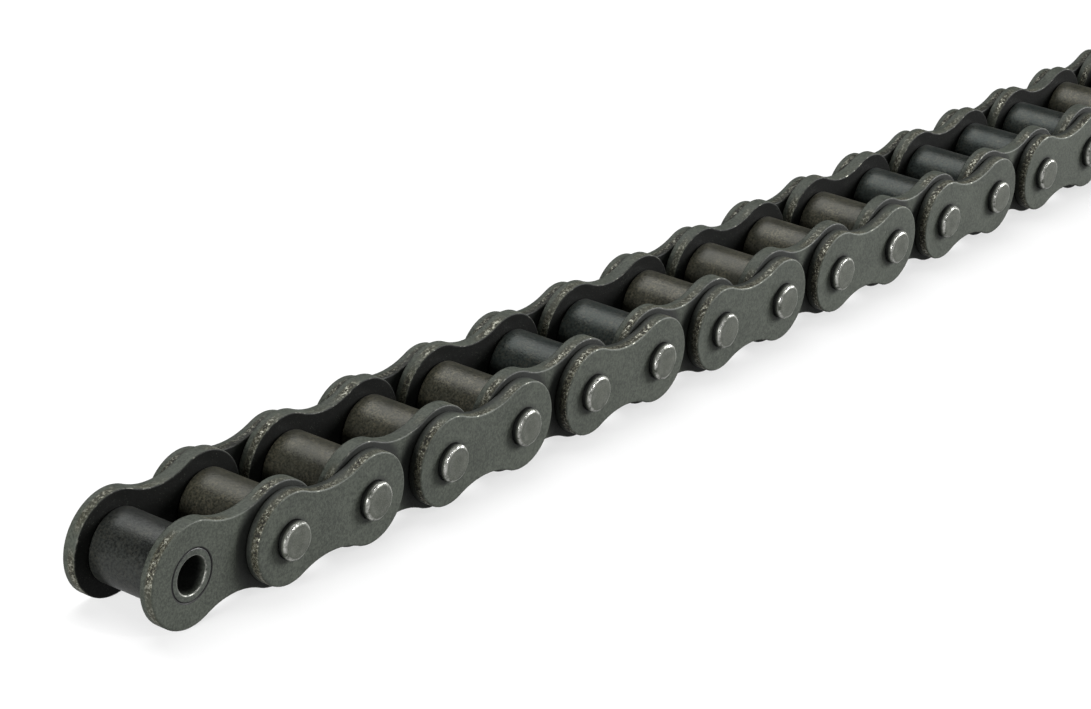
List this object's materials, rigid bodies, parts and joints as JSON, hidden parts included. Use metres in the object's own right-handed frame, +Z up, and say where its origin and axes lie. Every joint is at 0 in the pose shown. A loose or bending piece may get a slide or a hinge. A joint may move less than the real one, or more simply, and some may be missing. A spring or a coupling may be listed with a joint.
{
  "type": "roller chain",
  "caption": "Straight run of single-strand roller chain in dark steel: inner links with bushes and free rollers, joined by riveted outer links.",
  "frame": {"origin": "on the floor under the middle of the chain, which stands on the edges of its inner plates", "axes": "+X along the chain, +Y along the pins, +Z up"},
  "size_m": [0.341, 0.0256, 0.0171],
  "materials": {
    "plate_steel": "blackened, matt, with rough sheared rims",
    "roller_steel": "blackened, satin, lightly worn and stained",
    "pin_steel": "ground dark steel with bright worn edges",
    "bush_steel": "rolled dark steel, satin"
  },
  "bodies": {
    "inner_link_01": {"inner_plates_01": "plate_steel", "bushes_01": "bush_steel"},
    "inner_link_02": {"inner_plates_02": "plate_steel", "bushes_02": "bush_steel"},
    "inner_link_03": {"inner_plates_03": "plate_steel", "bushes_03": "bush_steel"},
    "inner_link_04": {"inner_plates_04": "plate_steel", "bushes_04": "bush_steel"},
    "inner_link_05": {"inner_plates_05": "plate_steel", "bushes_05": "bush_steel"},
    "inner_link_06": {"inner_plates_06": "plate_steel", "bushes_06": "bush_steel"},
    "inner_link_07": {"inner_plates_07": "plate_steel", "bushes_07": "bush_steel"},
    "inner_link_08": {"inner_plates_08": "plate_steel", "bushes_08": "bush_steel"},
    "inner_link_09": {"inner_plates_09": "plate_steel", "bushes_09": "bush_steel"},
    "outer_link_01": {"outer_plate_near_01": "plate_steel", "outer_plate_far_01": "plate_steel", "pins_01": "pin_steel"},
    "outer_link_02": {"outer_plate_near_02": "plate_steel", "outer_plate_far_02": "plate_steel", "pins_02": "pin_steel"},
    "outer_link_03": {"outer_plate_near_03": "plate_steel", "outer_plate_far_03": "plate_steel", "pins_03": "pin_steel"},
    "outer_link_04": {"outer_plate_near_04": "plate_steel", "outer_plate_far_04": "plate_steel", "pins_04": "pin_steel"},
    "outer_link_05": {"outer_plate_near_05": "plate_steel", "outer_plate_far_05": "plate_steel", "pins_05": "pin_steel"},
    "outer_link_06": {"outer_plate_near_06": "plate_steel", "outer_plate_far_06": "plate_steel", "pins_06": "pin_steel"},
    "outer_link_07": {"outer_plate_near_07": "plate_steel", "outer_plate_far_07": "plate_steel", "pins_07": "pin_steel"},
    "outer_link_08": {"outer_plate_near_08": "plate_steel", "outer_plate_far_08": "plate_steel", "pins_08": "pin_steel"},
    "free_roller_01": {"roller_01": "roller_steel"},
    "free_roller_02": {"roller_02": "roller_steel"},
    "free_roller_03": {"roller_03": "roller_steel"},
    "free_roller_04": {"roller_04": "roller_steel"},
    "free_roller_05": {"roller_05": "roller_steel"},
    "free_roller_06": {"roller_06": "roller_steel"},
    "free_roller_07": {"roller_07": "roller_steel"},
    "free_roller_08": {"roller_08": "roller_steel"},
    "free_roller_09": {"roller_09": "roller_steel"},
    "free_roller_10": {"roller_10": "roller_steel"},
    "free_roller_11": {"roller_11": "roller_steel"},
    "free_roller_12": {"roller_12": "roller_steel"},
    "free_roller_13": {"roller_13": "roller_steel"},
    "free_roller_14": {"roller_14": "roller_steel"},
    "free_roller_15": {"roller_15": "roller_steel"},
    "free_roller_16": {"roller_16": "roller_steel"},
    "free_roller_17": {"roller_17": "roller_steel"},
    "free_roller_18": {"roller_18": "roller_steel"}
  },
  "joints": [
    {"name": "pin_joint_02", "type": "hinge", "parent": "outer_link_01", "child": "inner_link_01", "pos_m": [-0.14288, 0, 0.00855], "axis": [0, 1, 0], "range_deg": [-90, 90]},
    {"name": "pin_joint_03", "type": "hinge", "parent": "inner_link_02", "child": "outer_link_01", "pos_m": [-0.12383, 0, 0.00855], "axis": [0, -1, 0], "range_deg": [-90, 90]},
    {"name": "pin_joint_04", "type": "hinge", "parent": "outer_link_02", "child": "inner_link_02", "pos_m": [-0.10477, 0, 0.00855], "axis": [0, -1, 0], "range_deg": [-90, 90]},
    {"name": "pin_joint_05", "type": "hinge", "parent": "inner_link_03", "child": "outer_link_02", "pos_m": [-0.08572, 0, 0.00855], "axis": [0, 1, 0], "range_deg": [-90, 90]},
    {"name": "pin_joint_06", "type": "hinge", "parent": "outer_link_03", "child": "inner_link_03", "pos_m": [-0.06667, 0, 0.00855], "axis": [0, 1, 0], "range_deg": [-90, 90]},
    {"name": "pin_joint_07", "type": "hinge", "parent": "inner_link_04", "child": "outer_link_03", "pos_m": [-0.04763, 0, 0.00855], "axis": [0, -1, 0], "range_deg": [-90, 90]},
    {"name": "pin_joint_08", "type": "hinge", "parent": "outer_link_04", "child": "inner_link_04", "pos_m": [-0.02857, 0, 0.00855], "axis": [0, -1, 0], "range_deg": [-90, 90]},
    {"name": "pin_joint_09", "type": "hinge", "parent": "inner_link_05", "child": "outer_link_04", "pos_m": [-0.00953, 0, 0.00855], "axis": [0, 1, 0], "range_deg": [-90, 90]},
    {"name": "pin_joint_10", "type": "hinge", "parent": "inner_link_05", "child": "outer_link_05", "pos_m": [0.00953, 0, 0.00855], "axis": [0, -1, 0], "range_deg": [-90, 90]},
    {"name": "pin_joint_11", "type": "hinge", "parent": "outer_link_05", "child": "inner_link_06", "pos_m": [0.02857, 0, 0.00855], "axis": [0, 1, 0], "range_deg": [-90, 90]},
    {"name": "pin_joint_12", "type": "hinge", "parent": "inner_link_06", "child": "outer_link_06", "pos_m": [0.04763, 0, 0.00855], "axis": [0, 1, 0], "range_deg": [-90, 90]},
    {"name": "pin_joint_13", "type": "hinge", "parent": "outer_link_06", "child": "inner_link_07", "pos_m": [0.06667, 0, 0.00855], "axis": [0, -1, 0], "range_deg": [-90, 90]},
    {"name": "pin_joint_14", "type": "hinge", "parent": "inner_link_07", "child": "outer_link_07", "pos_m": [0.08572, 0, 0.00855], "axis": [0, -1, 0], "range_deg": [-90, 90]},
    {"name": "pin_joint_15", "type": "hinge", "parent": "outer_link_07", "child": "inner_link_08", "pos_m": [0.10477, 0, 0.00855], "axis": [0, 1, 0], "range_deg": [-90, 90]},
    {"name": "pin_joint_16", "type": "hinge", "parent": "inner_link_08", "child": "outer_link_08", "pos_m": [0.12383, 0, 0.00855], "axis": [0, 1, 0], "range_deg": [-90, 90]},
    {"name": "pin_joint_17", "type": "hinge", "parent": "outer_link_08", "child": "inner_link_09", "pos_m": [0.14288, 0, 0.00855], "axis": [0, -1, 0], "range_deg": [-90, 90]},
    {"name": "roller_spin_01", "type": "hinge", "parent": "inner_link_01", "child": "free_roller_01", "pos_m": [-0.16193, 0, 0.00855], "axis": [0, 1, 0], "continuous": true},
    {"name": "roller_spin_02", "type": "hinge", "parent": "inner_link_01", "child": "free_roller_02", "pos_m": [-0.14288, 0, 0.00855], "axis": [0, 1, 0], "continuous": true},
    {"name": "roller_spin_03", "type": "hinge", "parent": "inner_link_02", "child": "free_roller_03", "pos_m": [-0.12383, 0, 0.00855], "axis": [0, 1, 0], "continuous": true},
    {"name": "roller_spin_04", "type": "hinge", "parent": "inner_link_02", "child": "free_roller_04", "pos_m": [-0.10477, 0, 0.00855], "axis": [0, 1, 0], "continuous": true},
    {"name": "roller_spin_05", "type": "hinge", "parent": "inner_link_03", "child": "free_roller_05", "pos_m": [-0.08572, 0, 0.00855], "axis": [0, 1, 0], "continuous": true},
    {"name": "roller_spin_06", "type": "hinge", "parent": "inner_link_03", "child": "free_roller_06", "pos_m": [-0.06667, 0, 0.00855], "axis": [0, 1, 0], "continuous": true},
    {"name": "roller_spin_07", "type": "hinge", "parent": "inner_link_04", "child": "free_roller_07", "pos_m": [-0.04763, 0, 0.00855], "axis": [0, 1, 0], "continuous": true},
    {"name": "roller_spin_08", "type": "hinge", "parent": "inner_link_04", "child": "free_roller_08", "pos_m": [-0.02857, 0, 0.00855], "axis": [0, 1, 0], "continuous": true},
    {"name": "roller_spin_09", "type": "hinge", "parent": "inner_link_05", "child": "free_roller_09", "pos_m": [-0.00953, 0, 0.00855], "axis": [0, 1, 0], "continuous": true},
    {"name": "roller_spin_10", "type": "hinge", "parent": "inner_link_05", "child": "free_roller_10", "pos_m": [0.00953, 0, 0.00855], "axis": [0, 1, 0], "continuous": true},
    {"name": "roller_spin_11", "type": "hinge", "parent": "inner_link_06", "child": "free_roller_11", "pos_m": [0.02857, 0, 0.00855], "axis": [0, 1, 0], "continuous": true},
    {"name": "roller_spin_12", "type": "hinge", "parent": "inner_link_06", "child": "free_roller_12", "pos_m": [0.04763, 0, 0.00855], "axis": [0, 1, 0], "continuous": true},
    {"name": "roller_spin_13", "type": "hinge", "parent": "inner_link_07", "child": "free_roller_13", "pos_m": [0.06667, 0, 0.00855], "axis": [0, 1, 0], "continuous": true},
    {"name": "roller_spin_14", "type": "hinge", "parent": "inner_link_07", "child": "free_roller_14", "pos_m": [0.08572, 0, 0.00855], "axis": [0, 1, 0], "continuous": true},
    {"name": "roller_spin_15", "type": "hinge", "parent": "inner_link_08", "child": "free_roller_15", "pos_m": [0.10477, 0, 0.00855], "axis": [0, 1, 0], "continuous": true},
    {"name": "roller_spin_16", "type": "hinge", "parent": "inner_link_08", "child": "free_roller_16", "pos_m": [0.12383, 0, 0.00855], "axis": [0, 1, 0], "continuous": true},
    {"name": "roller_spin_17", "type": "hinge", "parent": "inner_link_09", "child": "free_roller_17", "pos_m": [0.14288, 0, 0.00855], "axis": [0, 1, 0], "continuous": true},
    {"name": "roller_spin_18", "type": "hinge", "parent": "inner_link_09", "child": "free_roller_18", "pos_m": [0.16193, 0, 0.00855], "axis": [0, 1, 0], "continuous": true}
  ]
}
